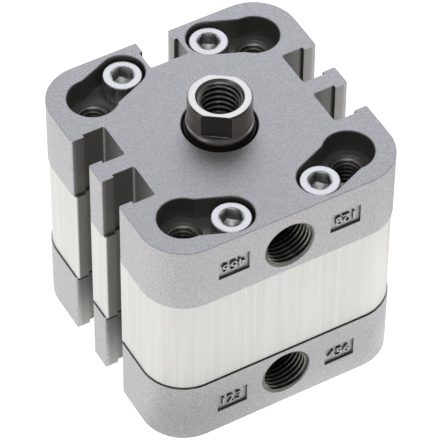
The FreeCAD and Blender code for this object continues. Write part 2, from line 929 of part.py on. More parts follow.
def make_piston_halves():
    """Two piston halves that meet at hub height and take the magnet and guide ring between them."""
    zero = as_size(0)
    hub_height = piston_half_height + dim.piston_middle / 2
    hole = stub_radius + dim.fit_gap
    rear = revolved_piece(
        "piston_rear_half",
        [(counterbore_radius, zero)]
        + seal_groove_side(zero)
        + [
            (hub_radius, piston_half_height),
            (hub_radius, hub_height),
            (hole, hub_height),
            (hole, counterbore_depth),
            (counterbore_radius, counterbore_depth),
        ],
    )
    finish(rear, piston_base)
    groove = dim.piston_o_ring_level - dim.piston_o_ring_section / 2
    groove_end = dim.piston_o_ring_level + dim.piston_o_ring_section / 2
    front = revolved_piece(
        "piston_front_half",
        [(hole, zero)]
        + seal_groove_side(zero)
        + [
            (hub_radius, piston_half_height),
            (hub_radius, hub_height),
            (hole, hub_height),
            (hole, groove_end),
            (piston_o_ring_groove, groove_end),
            (piston_o_ring_groove, groove),
            (hole, groove),
        ],
    )
    finish(front, piston_base + piston_length, turned=True)
    radius = stub_radius + dim.fit_gap + dim.piston_o_ring_section / 2 - dim.fit_gap / 2
    section = dim.piston_o_ring_section - dim.fit_gap
    make_o_ring("piston_o_ring", radius, section, piston_base + piston_length - dim.piston_o_ring_level)


def make_piston_rings():
    """Ring magnet on the hubs and guide ring round it, both between the piston halves."""
    for label, inner, outer, gap in (
        ("piston_magnet", hub_radius + dim.fit_gap, seal_groove_radius - dim.fit_gap, dim.fit_gap),
        ("guide_ring", ring_inner, ring_outer, dim.piston_seal_gap),
    ):
        body = new_body(label)
        section = sketch_on(body, f"{label}_section", "XZ_Plane")
        top = piston_half_height + dim.piston_middle - gap
        rectangle(section, inner, piston_half_height + gap, outer, top)
        turn_about(body, f"{label}_turning", section, "Revolution")
        finish(body, piston_base)


def make_piston_seal(label, height, turned):
    """Lip seal whose notch opens towards its own chamber and whose outer lip leans on the bore."""
    base = dim.piston_flange + dim.piston_seal_gap
    top = dim.piston_flange + dim.seal_groove_width - dim.piston_seal_gap
    lip = dim.piston_seal_lip
    middle = (ring_inner + ring_outer) / 2
    seal = revolved_piece(
        label,
        [
            (ring_inner, base),
            (ring_inner + lip, base),
            (middle, base + lip),
            (ring_outer - lip, base),
            (ring_outer, base),
            (ring_outer, base + lip),
            (ring_outer - dim.piston_seal_slope_width, top),
            (ring_inner, top),
        ],
    )
    finish(seal, height, turned)


def make_piston_fixing():
    """Screw and washer that clamp the piston to the rod's stub."""
    screw = make_screw(
        "piston_screw",
        piston_screw_head_radius,
        dim.piston_screw_head_height,
        piston_screw_radius - dim.fit_gap,
        dim.piston_screw_length,
        dim.piston_screw_key_width,
        dim.piston_screw_key_depth,
    )
    reach = dim.piston_screw_head_recess + dim.piston_screw_head_height + dim.piston_screw_length
    finish(screw, piston_base + reach, turned=True)
    washer = new_body("piston_washer")
    section = sketch_on(washer, "piston_washer_section", "XZ_Plane")
    rectangle(section, piston_screw_radius, washer_base, piston_screw_head_radius, counterbore_depth)
    turn_about(washer, "piston_washer_turning", section, "Revolution")
    finish(washer, piston_base)


def make_caps():
    """Front cap with the rod's seats, and the same casting closed and turned over as rear cap."""
    front = make_cap("front_cap")
    cut_rod_seats(front)
    finish(front, front_base)
    rear = make_cap("rear_cap")
    cut_seam_relief(rear)
    finish(rear, rear_base, turned=True)


def check_and_write():
    """Stop on any failed object or bad shape, then write one file for each piece."""
    for item in doc.Objects:
        if "Invalid" in item.State or "Error" in item.State:
            raise RuntimeError(f"{item.Label} failed: {item.State}")
    for piece in pieces:
        if piece.Shape.isNull() or not piece.Shape.isValid() or not piece.Shape.Solids:
            raise RuntimeError(f"{piece.Label} has no valid shape")
    os.makedirs("parts", exist_ok=True)
    for piece in pieces:
        piece.Shape.exportStep(f"parts/{piece.Label}.step")


def main():
    """Build every piece in the order of assembly and write the files."""
    make_caps()
    finish(make_barrel(), cap_height)
    screw_reach = dim.screw_head_recess + dim.screw_head_height + dim.screw_length
    make_cap_screws("front_cap_screws", total_height - screw_reach, turned=False)
    make_cap_screws("rear_cap_screws", screw_reach, turned=True)
    o_ring_radius = dim.bore_radius - dim.fit_gap - dim.o_ring_section / 2
    make_o_ring("front_barrel_o_ring", o_ring_radius, dim.o_ring_section, front_base + o_ring_level)
    make_o_ring("rear_barrel_o_ring", o_ring_radius, dim.o_ring_section, rear_base - o_ring_level)
    make_bumper("front_bumper", front_base, turned=False)
    make_bumper("rear_bumper", rear_base, turned=True)
    make_rod_bush()
    make_rod_seal()
    make_rod()
    make_piston_halves()
    make_piston_rings()
    make_piston_seal("piston_seal_rear", piston_base, turned=False)
    make_piston_seal("piston_seal_front", piston_base + piston_length, turned=True)
    make_piston_fixing()
    check_and_write()


main()
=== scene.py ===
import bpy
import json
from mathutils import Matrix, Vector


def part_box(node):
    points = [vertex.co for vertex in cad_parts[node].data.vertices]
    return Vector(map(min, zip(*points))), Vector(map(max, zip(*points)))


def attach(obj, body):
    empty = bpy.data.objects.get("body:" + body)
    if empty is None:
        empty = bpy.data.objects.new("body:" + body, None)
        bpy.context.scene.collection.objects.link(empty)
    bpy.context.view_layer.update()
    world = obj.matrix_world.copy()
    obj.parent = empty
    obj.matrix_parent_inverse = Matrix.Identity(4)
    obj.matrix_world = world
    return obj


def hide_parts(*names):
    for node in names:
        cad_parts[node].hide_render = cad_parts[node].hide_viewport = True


bl_info = {
    "name": "Compact cylinder looks",
    "version": (1, 0, 0),
    "blender": (4, 5, 0),
    "location": "3D View > Sidebar > Cylinder",
    "description": "Dresses the packed compact pneumatic cylinder and sets its stage",
    "category": "Object",
}

import json
import math

import bpy
import numpy as np
from bpy.props import FloatProperty, FloatVectorProperty, PointerProperty, StringProperty
from mathutils import Matrix, Vector

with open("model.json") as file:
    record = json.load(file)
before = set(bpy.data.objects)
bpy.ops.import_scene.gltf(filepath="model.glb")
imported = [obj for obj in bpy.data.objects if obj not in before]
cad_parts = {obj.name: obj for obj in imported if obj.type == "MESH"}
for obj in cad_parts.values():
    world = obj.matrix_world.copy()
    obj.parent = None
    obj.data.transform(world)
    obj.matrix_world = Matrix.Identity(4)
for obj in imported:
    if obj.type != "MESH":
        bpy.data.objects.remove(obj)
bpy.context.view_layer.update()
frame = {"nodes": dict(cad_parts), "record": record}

MOUNTS = {mount["name"]: mount for mount in frame["record"]["mounts"]}
MM = 0.001
TURN = 2 * math.pi
CORNERS = [(1, 1), (-1, 1), (-1, -1), (1, -1)]

# Threads, screws and numbers
RIDGE_GAIN = 1.35
RIDGE_CUT = 0.15
SLEEVE_SKIN = 0.012 * MM
LEAST_LIMIT = 0.02
PORT_STARTS = {"front": 0.28, "rear": 0.49}
SHANK_STEPS = 5
SHANK_RIDGE_SHARE = 0.61
TIP_TAPER = 0.3 * MM
HEAD_FOOT_SHARE = 0.12
SINK_SLOPE = 0.35
# Share of painted shade on the sockets' countersinks
SINK_SHADE = 0.14
SCREW_TURNS = (0, 42, 50, 47)
BEVEL_SHARE = 0.02
FONT_RATIO = 1.3
MERGE_DISTANCE = 1e-3 * MM

# Ranges of noise that pass from dark to light
NOISE_RANGE = (0.3, 0.7)
CLOUD_RANGE = (0.35, 0.65)
CLOUD_SCALE = 0.13
FINE_RATIO = 3.7
RING_SCALE = 9000.0

# Depths in millimetres below the outer faces over which one finish passes into the next, and over which the
# painted shade of pockets, slots, recesses and seams sets in
CAP_END_EDGE = (0.03, 0.3)
CAP_SIDE_EDGE = (0.55, 1.0)
CAP_SKIN_EDGE = (2.2, 3.6)
# Painted shadow along the seam inside the slots, on the caps
CAP_SEAM_EDGE = (0.3, 0.6)
SEAM_FADE = 0.12
RECESS_OUTER = (0.1, 0.18)
RECESS_INNER = (0.49, 0.43)
RECESS_SIDE = (0.05, 0.1)
# Painted shade inside the barrel's slots
SLOT_EDGE = (0.2, 0.7)
SLOT_FLOOR_EDGE = (2.0, 3.6)
# Painted shadow on the barrel's end ledges inside the slots
LEDGE_EDGE = (0.1, 0.03)
LEDGE_SHADOW_SHARE = 0.7

# Distances in millimetres from the rod's axis, and how upright its faces' normals are, which place the
# painted shade of its wrench flats and end rim and its paler end faces
FLAT_EDGE = (5.72, 5.66)
FLAT_LEAST = 4.9
FLAT_LEVEL = 0.2
RIM_EDGE = (5.42, 5.56)
RIM_SHADE_SHARE = 0.75
END_EDGE = (0.3, 0.6)
END_LEVEL = 0.6

# Bands of the floor round the part, in millimetres along X or Y or below the rear cap's sides
FLOOR_RADIUS = 3.0
FLOOR_ANGLES = 64
FLOOR_DROP = 0.02 * MM
FLOOR_TINT = (1.01, 0.985, 0.99)
FLOOR_SEEN = 1.15
FLOOR_LEFT = (-6, 3)
FLOOR_STRIP = ((-38, -32), (-15, -21))
FLOOR_RIGHT = (33, 38)
FLOOR_PATCH = ((20, 26), (35, 30))
FLOOR_NEAR = (-34, -28)
FLOOR_ASIDE_X = (32, 37)
FLOOR_ASIDE_Y = (-22, -16)
FLOOR_CLOSE = (-16, 6)
FLOOR_FOOT = (-7.5, -1.5)
FLOOR_FOOT_GAINS = (0.82, 1.2)
FLOOR_BAND = (-16.0, -10.0)
FLOOR_FAR = (-27.0, -33.0)
FLOOR_UNDER = (1.0, 5.0)


def metres(millimetres):
    """Several lengths, given in millimetres, in metres."""
    return [value * MM for value in millimetres]


def length(label, help_text, millimetres):
    """A length property that is stated in millimetres."""
    default = millimetres * MM
    return FloatProperty(name=label, description=help_text, default=default, unit="LENGTH", precision=5)


def amount(label, help_text, value):
    """A plain number property."""
    return FloatProperty(name=label, description=help_text, default=value)


def angle(label, help_text, degrees):
    """An angle property that is stated in degrees."""
    return FloatProperty(name=label, description=help_text, default=math.radians(degrees), subtype="ANGLE")


def colour(label, help_text, red, green, blue):
    """A linear colour property."""
    default = (red, green, blue, 1)
    return FloatVectorProperty(
        name=label, description=help_text, subtype="COLOR", size=4, min=0, max=1, default=default
    )


class CylinderSizes(bpy.types.PropertyGroup):
    """Sizes of the details that are added to the solids."""

    rod_pitch: length("Rod thread pitch", "Rise per turn of the thread in the rod's end", 1.25)
    rod_thread_depth: length("Rod thread depth", "Height of that thread's ridges", 0.62)
    port_pitch: length("Port thread pitch", "Rise per turn of the air ports' threads", 0.907)
    port_thread_depth: length("Port thread depth", "Height of those threads' ridges", 0.56)
    mount_pitch: length("Mounting thread pitch", "Rise per turn of the corner threads", 1.0)
    mount_thread_depth: length("Mounting thread depth", "Height of those threads' ridges", 0.52)
    head_radius: length("Screw head radius", "Outer radius of the cap screws' heads", 3.6)
    head_height: length("Screw head height", "Height of the cap screws' heads", 4.0)
    head_edge: length("Screw head edge", "Rounding of the heads' upper rim", 0.3)
    knurl_depth: length("Knurl depth", "Depth of the grooves round the heads", 0.09)
    key_width: length("Key width", "Width of the hexagon sockets across flats", 3.7)
    key_depth: length("Key depth", "Depth of the hexagon sockets", 2.6)
    key_floor_slope: amount("Key floor slope", "Fall of the sockets' floors towards their middle", 0.53)
    sink_radius: length("Countersink radius", "Radius of the countersink over the hexagon", 2.3)
    shank_radius: length("Screw thread radius", "Outer radius of the cap screws' threads", 2.0)
    shank_pitch: length("Screw thread pitch", "Rise per turn of the cap screws' threads", 0.7)
    mark_height: length("Mark height", "Height of the raised numbers beside the ports", 2.1)
    mark_relief: length("Mark relief", "How far the numbers stand out of their recess's floor", 0.42)
    mark_offset: length("Mark offset", "Distance of the numbers from the ports' middle", 11.0)
    mark_rise: length("Mark rise", "Height of the numbers above the ports' level", 0.75)
    recess_depth: length("Recess depth", "Depth of the recesses that hold the numbers", 0.5)
    left_mark: StringProperty(name="Left mark", description="Plain number left of a port", default="123")
    right_mark: StringProperty(name="Right mark", description="Plain number right of a port", default="456")


class CylinderFinishes(bpy.types.PropertyGroup):
    """Colours of the finishes, and of the painted shade and highlights laid on them."""

    cap: colour("Cap", "Tumbled outer faces of the caps", 0.54, 0.54, 0.545)
    # The next two are painted shade, not a casting skin: lighter on walls just below the outer faces, darker
    # deep in pockets and slots
    cap_lip_shade: colour("Cap lip", "Casting skin just below the outer faces", 0.40, 0.396, 0.38)
    cap_pocket_shade: colour("Cap skin", "Casting skin deep inside pockets and slots", 0.29, 0.287, 0.272)
    # Painted shade on the low walls round and on the recesses' floors
    recess_shade: colour("Recess wall", "Low walls round and on the recesses' floors", 0.15, 0.147, 0.142)
    barrel: colour("Barrel", "Brushed anodised barrel", 0.765, 0.775, 0.745)
    # The next two are painted shade inside the barrel's sensor slots, lighter near their mouths
    barrel_lip_shade: colour("Barrel lip", "Walls just inside the barrel's sensor slots", 0.56, 0.56, 0.52)
    barrel_slot_shade: colour("Barrel slot", "Inside of the barrel's sensor slots", 0.40, 0.40, 0.37)
    # seam is a painted shadow in the gap where caps and barrel meet inside the slots
    seam: colour("Seam", "Dark lines inside the slots where caps and barrel meet", 0.03, 0.029, 0.027)
    # The next two are painted shade in the thread roots and a painted highlight on the crests
    cut_root_shade: colour("Thread root", "Roots of the threads in the caps", 0.09, 0.085, 0.072)
    cut_crest_highlight: colour("Thread crest", "Crests of the threads in the caps", 0.50, 0.485, 0.445)
    zinc: colour("Zinc", "Zinc plating of the cap screws", 0.70, 0.71, 0.705)
    # Painted shade on the walls of the hexagon sockets, not a darker plating
    zinc_socket_shade: colour("Socket", "Darker plating on the walls of the hexagon sockets", 0.33, 0.35, 0.33)
    rod: colour("Rod side", "Ground side of the rod", 0.38, 0.345, 0.305)
    # Turned end steel, which also serves as painted light on faces turned up and as painted highlight on the
    # rod thread's crests
    rod_end_and_highlight: colour("Rod end", "Turned end face of the rod", 0.71, 0.70, 0.655)
    # Painted reflection of dark surroundings on the wrench flats, also laid as painted shade on the end's
    # rim
    rod_flat_shade: colour("Wrench flat", "Milled wrench flats", 0.11, 0.103, 0.097)
    # Painted shade in the roots of the rod's thread
    rod_root_shade: colour("Rod thread root", "Roots of the rod's thread", 0.012, 0.011, 0.010)
    rubber: colour("Rubber", "Seals, rings and end stops", 0.006, 0.0055, 0.005)
    bronze: colour("Bronze", "Rod bush", 0.45, 0.30, 0.15)
    piston: colour("Piston", "Machined piston halves", 0.62, 0.62, 0.63)
    magnet: colour("Magnet", "Bonded ring magnet", 0.05, 0.05, 0.052)
    guide: colour("Guide ring", "Acetal guide ring", 0.60, 0.57, 0.48)


class CylinderStage(bpy.types.PropertyGroup):
    """Camera and studio light."""

    azimuth: angle("Azimuth", "Camera's turn round the rod", -29.976)
    elevation: angle("Elevation", "Camera's height angle", 47.612)
    roll: angle("Roll", "Camera's turn about its own axis", -0.574)
    distance: length("Distance", "Camera's distance from the body's middle", 600.0)
    across: length("Across", "Sideways shift of the body in the view", -0.22)
    upward: length("Upward", "Upward shift of the body in the view", 0.157)
    lens: amount("Lens", "Focal length on a 36 mm sensor, in millimetres", 274.9)
    floor_glow: amount("Floor glow", "Own light of the white floor", 0.94)
    floor_left: amount("Left floor", "Gain of that light at the part's left", 1.12)
    floor_right: amount("Right floor", "Gain of that light at the part's right", 1.2)
    floor_beside: amount("Beside floor", "Gain of that light close to the part's right corner", 1.22)
    floor_aside: amount("Aside floor", "Share of that light left beyond the part's right corner", 0.7)
    floor_corner: amount("Corner floor", "Share of that light left close to the part's near corner", 0.68)
    floor_close: amount("Close floor", "Share of that light left close before the ports", 0.95)
    floor_band: amount("Floor band", "Gain of that light in a band before the barrel", 1.28)
    floor_far: amount("Far floor", "Share of that light left farther before the ports", 0.9)
    floor_under: amount("Covered floor", "Share of that light left under the part's slots", 0.7)
    horizon: amount("Horizon", "Strength of the light from the white backdrop", 0.75)
    sky: amount("Sky", "Strength of the light from behind", 0.15)
    sky_front: amount("Front sky", "Strength of the light from the camera's side", 0.08)
    back_light: amount("Back light", "Power of the soft box behind the part", 2.0)
    over_light: amount("Overhead light", "Power of the soft box overhead", 1.0)
    side_light: amount("Side light", "Power of the soft box at the left", 0.3)


# Meshes


def quads_of_grid(rows, columns, close_rows=False):
    """Corner numbers of the faces between neighbours on a grid whose columns close into a ring."""
    row = np.arange(rows if close_rows else rows - 1)[:, None]
    column = np.arange(columns)[None, :]
    above = (row + 1) % rows
    beside = (column + 1) % columns
    here = row * columns
    there = above * columns
    corners = [here + column, here + beside, there + beside, there + column]
    return np.stack(corners, axis=-1).reshape(-1, 4)


def fan_of_ring(first, columns, centre):
    """Triangles between a ring of points and a point in its middle."""
    column = np.arange(columns)
    return np.stack([first + column, first + (column + 1) % columns, np.full(columns, centre)], axis=-1)


def triangles_of(quads):
    """Each four-sided face as two triangles."""
    return np.concatenate([quads[:, [0, 1, 2]], quads[:, [0, 2, 3]]])


def outward(points, triangles):
    """The triangles turned so that the volume they enclose is positive."""
    a, b, c = (points[triangles[:, k]] for k in range(3))
    volume = np.einsum("ij,ij->", a - points.mean(0), np.cross(b - points.mean(0), c - points.mean(0)))
    return triangles if volume > 0 else triangles[:, ::-1]


def closed_lathe(grid):
    """Points and faces of a grid (rows, angles, 3), closed at both ends with a middle point."""
    rows, columns, _ = grid.shape
    ends = np.stack([grid[0].mean(0), grid[-1].mean(0)])
    points = np.concatenate([grid.reshape(-1, 3), ends])
    count = rows * columns
    bottom = fan_of_ring(0, columns, count)[:, ::-1]
    top = fan_of_ring(count - columns, columns, count + 1)
    faces = np.concatenate([triangles_of(quads_of_grid(rows, columns)), bottom, top])
    return points, outward(points, faces)


def closed_sleeve(grid):
    """Points and faces of a grid (rows, angles, 3) whose rows run round a closed section."""
    rows, columns, _ = grid.shape
    points = grid.reshape(-1, 3)
    return points, outward(points, triangles_of(quads_of_grid(rows, columns, close_rows=True)))


def joined(shells):
    """Several closed shells as one list of points and one of faces."""
    points, faces, start = [], [], 0
    for shell_points, shell_faces in shells:
        points.append(shell_points)
        faces.append(shell_faces + start)
        start += len(shell_points)
    return np.concatenate(points), np.concatenate(faces)


def make_piece(name, points, triangles, material, sharp_degrees=35):
    """A mesh object at the origin, smooth up to an edge angle."""
    mesh = bpy.data.meshes.new(name)
    mesh.vertices.add(len(points))
    mesh.vertices.foreach_set("co", np.ascontiguousarray(points, np.float32).ravel())
    mesh.loops.add(triangles.size)
    mesh.loops.foreach_set("vertex_index", np.ascontiguousarray(triangles, np.int32).ravel())
    mesh.polygons.add(len(triangles))
    mesh.polygons.foreach_set("loop_start", np.arange(0, triangles.size, 3, dtype=np.int32))
    mesh.update(calc_edges=True)
    if mesh.validate():
        raise RuntimeError(f"{name} has faulty faces")
    mesh.shade_smooth()
    mesh.set_sharp_from_angle(angle=math.radians(sharp_degrees))
    mesh.materials.append(material)
    piece = bpy.data.objects.new(name, mesh)
    bpy.context.scene.collection.objects.link(piece)
    return piece


def keep_values(piece, name, values):
    """Store one number for each point of a piece, for its material to read."""
    piece.data.attributes.new(name, "FLOAT", "POINT").data.foreach_set("value", values.astype(np.float32))


def frame_along(axis):
    """Two directions across an axis and the axis itself, right-handed."""
    axis = np.array(axis, float)
    helper = np.array([1.0, 0, 0]) if abs(axis[0]) < 0.5 else np.array([0, 1.0, 0])
    across = np.cross(helper, axis)
    across /= np.linalg.norm(across)
    return across, np.cross(axis, across), axis


def smooth_step(values):
    """0 below 0, 1 above 1, and 3t^2 - 2t^3 between."""
    t = np.clip(values, 0, 1)
    return t * t * (3 - 2 * t)


def ridge(phase):
    """Thread ridge over one turn: a triangle wave cut flat at its root and its crest."""
    return np.clip(RIDGE_GAIN * (1 - np.abs(2 * (phase % 1.0) - 1)) - RIDGE_CUT, 0, 1)


def thread_sleeve(
    mouth, axis, radius, depth, pitch, reach, entry,
    start=0.0, whole=0.0, pale=1.0, lead=1.0, angles=72, steps=12,
):
    """Right-handed inner thread as a thin closed sleeve in a plain hole, with some steps to each pitch.
    At angle a and distance d below the mouth the inner wall stands at
    radius - depth * ridge(d / pitch + a / turn + start), but not inside the entry cone radius - entry * d.
    The thread leaves the cone whole down to a share of the depth, and fades out over the last pitch.
    The outer wall is a cylinder just inside the hole. The second result is the share of painted highlight:
    high on the crests down to a share of the reach, none in the roots and deeper down, and on the entry cone
    as much as the share lead says."""
    count = int(round(reach / pitch * steps)) + 1
    below = np.linspace(0, reach, count)[:, None]
    around = np.linspace(0, TURN, angles, endpoint=False)[None, :]
    fade = smooth_step((reach - below) / pitch)
    wave = ridge(below / pitch + around / TURN + start)
    limit = np.clip(below * entry / depth, LEAST_LIMIT, 1)
    if whole:
        wave = np.maximum(wave, smooth_step(2 - below * entry / (whole * depth)))
    crest = np.minimum(wave, limit) * fade
    inner = radius - 2 * SLEEVE_SKIN - depth * crest
    outer = np.full((2, angles), radius - SLEEVE_SKIN)
    radii = np.concatenate([inner, outer])
    ends = np.array([[reach], [0]])
    depths = np.concatenate([np.broadcast_to(below, inner.shape), np.broadcast_to(ends, outer.shape)])
    across, along, out = frame_along(axis)
    turn = around[..., None]
    spokes = np.cos(turn) * across + np.sin(turn) * along
    grid = np.array(mouth) + radii[..., None] * spokes - depths[..., None] * out
    # shown is the painted highlight on the crests, fading to painted shade with depth, weaker on the entry
    # cone
    shown = np.minimum(wave / limit, 1) * smooth_step(2 - 2 * below / (pale * reach))
    shown = shown * np.where(limit < 1, lead, 1.0)
    crest_highlights = np.concatenate([shown, np.zeros((2, angles))])
    return closed_sleeve(grid), crest_highlights.ravel()


def threaded_hole(mount, **thread):
    """What a thread sleeve needs to know of one threaded hole of the record."""
    dims = mount["dims"]
    place = {"mouth": mount["pos_m"], "axis": mount["axis"]}
    return dict(place, radius=dims["r_mm"] * MM, reach=dims["length_mm"] * MM, angles=96, **thread)


def thread_piece(name, holes, material):
    """One piece of several thread sleeves, which stores each point's share of painted highlight on the
    crests.
    """
    made = [thread_sleeve(**hole) for hole in holes]
    points, faces = joined([shell for shell, _ in made])
    piece = make_piece(name, points, faces, material, sharp_degrees=50)
    keep_values(piece, "crest", np.concatenate([crest_highlights for _, crest_highlights in made]))
    return piece


def socket_screw(sizes, reach, turn, angles=120, ridges=24):
    """Socket head screw about +Z with its head's top at height 0, as rows from tip to socket floor.
    Each row is a circle, bent into a helix on the shank, fluted on the head's side and
    drawn to a hexagon of radius half width / cos(angle to the nearest flat) in the socket,
    whose floor is a cone. The second result is 1 at the foot of the socket's walls,
    a little on its countersink, -1 on its floor and 0 elsewhere."""
    around = np.linspace(0, TURN, angles, endpoint=False)[None, :]
    level = np.zeros_like(around)
    sector = TURN / 6
    hexagon = sizes.key_width / 2 / np.cos((around + sector / 2) % sector - sector / 2)
    flute = sizes.knurl_depth * (0.5 - 0.5 * np.cos(ridges * around))
    under = -sizes.head_height
    edge = sizes.head_edge
    head = sizes.head_radius
    pitch = sizes.shank_pitch
    tip = -reach

    steps = int(round((under - tip) / pitch * SHANK_STEPS))
    height = np.linspace(tip, under, steps)[:, None]
    grow = smooth_step((height - tip) / pitch)
    hollow = SHANK_RIDGE_SHARE * pitch * (1 - ridge(height / pitch - around / TURN))
    thread = sizes.shank_radius - hollow - (1 - grow) * TIP_TAPER
    rows = [(thread, height + level)]

    side = np.linspace(under, -edge, 8)[:, None]
    foot = HEAD_FOOT_SHARE * sizes.head_height
    lower = edge * 0.5 * (1 - smooth_step((side - under) / foot))
    rows.append((head - lower - flute, side + level))
    arc = np.linspace(0, TURN / 4, 7)[1:, None]
    rim = head - edge + edge * np.cos(arc)
    rows.append((rim - flute * (1 - np.sin(arc)), -edge + edge * np.sin(arc) + level))

    land = np.linspace(head - edge, sizes.sink_radius, 4)[1:, None]
    rows.append((land + level, 0 * land + level))
    cone = np.linspace(0, 1, 4)[1:, None]
    sunk = sizes.sink_radius + (hexagon - sizes.sink_radius) * cone
    rows.append((sunk, -SINK_SLOPE * (sizes.sink_radius - sunk)))
    rim_height = rows[-1][1][-1:]
    wall = np.linspace(0, 1, 6)[1:, None]
    foot = sizes.key_floor_slope * (hexagon - sizes.key_width / 2) - sizes.key_depth
    rows.append((hexagon + 0 * wall, rim_height + (foot - rim_height) * wall))
    shrink = np.linspace(0.98, 0.06, 5)[:, None]
    rows.append((shrink * hexagon, foot - sizes.key_floor_slope * hexagon * (1 - shrink)))

    radii = np.concatenate([r for r, _ in rows])
    heights = np.concatenate([z for _, z in rows])
    turned = around + turn
    grid = np.stack([radii * np.cos(turned), radii * np.sin(turned), heights], axis=-1)
    # place marks where the zinc material paints shade: the socket's walls and a little of its countersink
    place = np.zeros(radii.shape)
    place[-len(cone) - len(wall) - len(shrink) : -len(shrink)] = SINK_SHADE
    place[-len(wall) - len(shrink) : -len(shrink)] = wall
    place[-len(shrink) :] = -1
    return closed_lathe(grid), np.concatenate([place.ravel(), [0, -1]])


def raised_number(text, sizes):
    """Points and faces of a plain raised number with bevelled edges, centred in the XY plane.
    It is as high as the mark height and stands from 0 to the relief along +Z."""
    bevel = BEVEL_SHARE * sizes.mark_height
    curve = bpy.data.curves.new("number", "FONT")
    curve.body = text
    curve.size = sizes.mark_height * FONT_RATIO
    curve.space_character = 1.08
    curve.extrude = sizes.mark_relief / 2 - bevel
    curve.bevel_depth = bevel
    curve.bevel_resolution = 0
    curve.resolution_u = 4
    holder = bpy.data.objects.new("number", curve)
    bpy.context.scene.collection.objects.link(holder)
    bpy.context.view_layer.update()
    mesh = bpy.data.meshes.new_from_object(holder.evaluated_get(bpy.context.evaluated_depsgraph_get()))
    bpy.data.objects.remove(holder)
    bpy.data.curves.remove(curve)
    mesh.calc_loop_triangles()
    points = np.zeros(3 * len(mesh.vertices), np.float32)
    faces = np.zeros(3 * len(mesh.loop_triangles), np.int32)
    mesh.vertices.foreach_get("co", points)
    mesh.loop_triangles.foreach_get("vertices", faces)
    bpy.data.meshes.remove(mesh)
    points = points.reshape(-1, 3).astype(float)
    points -= (points.min(0) + points.max(0)) / 2
    points[:, :2] *= sizes.mark_height / (points[:, 1].max() - points[:, 1].min())
    points[:, 2] += sizes.mark_relief / 2
    places = np.round(points / MERGE_DISTANCE)
    _, first, merged = np.unique(places, axis=0, return_index=True, return_inverse=True)
    faces = merged.ravel()[faces.reshape(-1, 3)]
    whole = (faces[:, 0] != faces[:, 1]) & (faces[:, 1] != faces[:, 2]) & (faces[:, 2] != faces[:, 0])
    return points[first], outward(points[first], faces[whole])


# Material nodes


def node(tree, kind, inputs=None, **settings):
    """Add a node. Inputs are given by socket name or number, as values or as sockets to link."""
    made = tree.nodes.new(kind)
    for name, value in settings.items():
        setattr(made, name, value)
    for key, value in (inputs or {}).items():
        if isinstance(value, bpy.types.NodeSocket):
            tree.links.new(value, made.inputs[key])
        else:
            made.inputs[key].default_value = value
    return made


def maths(tree, operation, *values):
    """The result of a math node."""
    return node(tree, "ShaderNodeMath", dict(enumerate(values)), operation=operation).outputs[0]


def product(tree, *values):
    """Several values multiplied in the order given."""
    result = values[0]
    for value in values[1:]:
        result = maths(tree, "MULTIPLY", result, value)
    return result


def ramp(tree, value, low, high, to_low=0.0, to_high=1.0):
    """A value carried smoothly from one range to another."""
    inputs = {"Value": value, "From Min": low, "From Max": high, "To Min": to_low, "To Max": to_high}
    return node(tree, "ShaderNodeMapRange", inputs, interpolation_type="SMOOTHSTEP").outputs["Result"]


def window(tree, value, rise, fall):
    """1 between two smooth steps of a value, which rises over one range and falls over the other."""
    return product(tree, ramp(tree, value, *rise), ramp(tree, value, *fall))


def blend(tree, share, first, second, kind="MIX"):
    """Two colours mixed by a share."""
    inputs = {0: share, 6: first, 7: second}
    return node(tree, "ShaderNodeMix", inputs, data_type="RGBA", blend_type=kind).outputs[2]


def between(tree, share, first, second):
    """Two values mixed by a share."""
    return node(tree, "ShaderNodeMix", {0: share, 2: first, 3: second}, data_type="FLOAT").outputs[0]


def new_group(name, inputs, outputs):
    """A node group with named values, returned with the sockets inside it."""
    tree = bpy.data.node_groups.new(name, "ShaderNodeTree")
    for label, value in inputs.items():
        kind = "NodeSocketVector" if isinstance(value, tuple) else "NodeSocketFloat"
        tree.interface.new_socket(label, in_out="INPUT", socket_type=kind).default_value = value
    for label in outputs:
        tree.interface.new_socket(label, in_out="OUTPUT", socket_type="NodeSocketFloat")
    return tree, tree.nodes.new("NodeGroupInput").outputs, tree.nodes.new("NodeGroupOutput").inputs


def vector_maths(tree, operation, first, second):
    """The results of a vector math node."""
    return node(tree, "ShaderNodeVectorMath", {0: first, 1: second}, operation=operation).outputs


def towards(tree, vector, direction):
    """How far a vector reaches in a direction."""
    return vector_maths(tree, "DOT_PRODUCT", vector, direction)["Value"]


def coordinates(tree, vector):
    """The three numbers of a vector."""
    return node(tree, "ShaderNodeSeparateXYZ", {0: vector}).outputs


def noise(tree, vector, scale, detail):
    """The value of a noise texture."""
    inputs = {"Vector": vector, "Scale": scale, "Detail": detail}
    return node(tree, "ShaderNodeTexNoise", inputs).outputs["Fac"]


def object_place(tree):
    """Object coordinates."""
    return node(tree, "ShaderNodeTexCoord").outputs["Object"]


def millimetre_place(tree):
    """Object coordinates in millimetres."""
    return vector_maths(tree, "MULTIPLY", object_place(tree), (1 / MM, 1 / MM, 1 / MM))[0]


def grain_group():
    """Fine mottling of blasted, tumbled or moulded surfaces: two noises of different size."""
    tree, given, result = new_group("grain", {"Size": 0.5, "Fine Share": 0.5}, ["Mottle", "Height"])
    place = millimetre_place(tree)
    scale = maths(tree, "DIVIDE", 1.0, given["Size"])
    coarse = noise(tree, place, scale, 2.0)
    fine = noise(tree, place, product(tree, scale, FINE_RATIO), 1.0)
    mixed = between(tree, given["Fine Share"], coarse, fine)
    tree.links.new(ramp(tree, mixed, *NOISE_RANGE), result["Mottle"])
    tree.links.new(fine, result["Height"])
    return tree


def stroke_group():
    """Brush strokes: noise drawn out along one direction by unequal scales."""
    tree, given, result = new_group("strokes", {"Scale": (12.0, 12.0, 0.25)}, ["Strokes", "Cloud"])
    place = millimetre_place(tree)
    drawn = vector_maths(tree, "MULTIPLY", place, given["Scale"])[0]
    tree.links.new(ramp(tree, noise(tree, drawn, 1.0, 3.0), *NOISE_RANGE), result["Strokes"])
    tree.links.new(ramp(tree, noise(tree, place, CLOUD_SCALE, 1.0), *CLOUD_RANGE), result["Cloud"])
    return tree


